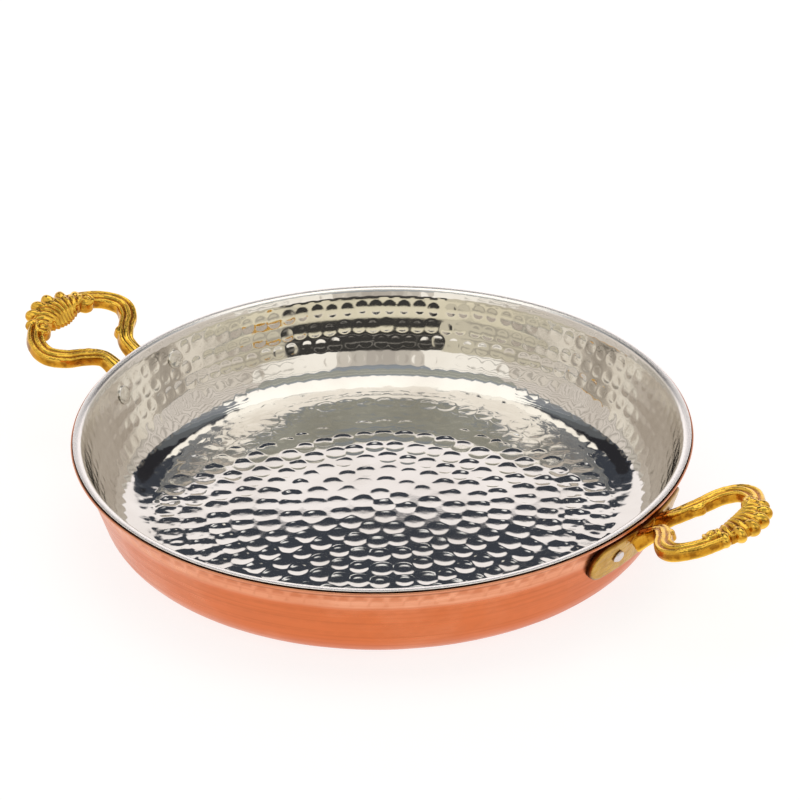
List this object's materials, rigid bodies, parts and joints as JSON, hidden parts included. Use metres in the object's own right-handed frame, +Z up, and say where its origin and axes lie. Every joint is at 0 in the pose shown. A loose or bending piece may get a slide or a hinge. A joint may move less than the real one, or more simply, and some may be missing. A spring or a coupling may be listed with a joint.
{
  "type": "copper frying pan",
  "caption": "Round hammered copper frying pan, tinned inside, with an out-turned rim and cast brass loop handles riveted to opposite sides of its flared wall.",
  "frame": {"origin": "middle of the underside of the flat base", "axes": "+X from the middle of the pan through the middle of one handle, +Z up out of the open top"},
  "size_m": [0.3622, 0.26, 0.0533],
  "materials": {
    "copper": "hammered satin copper",
    "tin": "bright hot-tinned, hammered",
    "cast_brass": "cast, tumbled bright",
    "rivet_metal": "pale dull metal"
  },
  "bodies": {
    "root": {"copper_bowl": "copper", "tin_lining": "tin", "handle_right": "cast_brass", "handle_left": "cast_brass", "rivet_right_front": "rivet_metal", "rivet_right_back": "rivet_metal", "rivet_left_front": "rivet_metal", "rivet_left_back": "rivet_metal"}
  },
  "joints": []
}
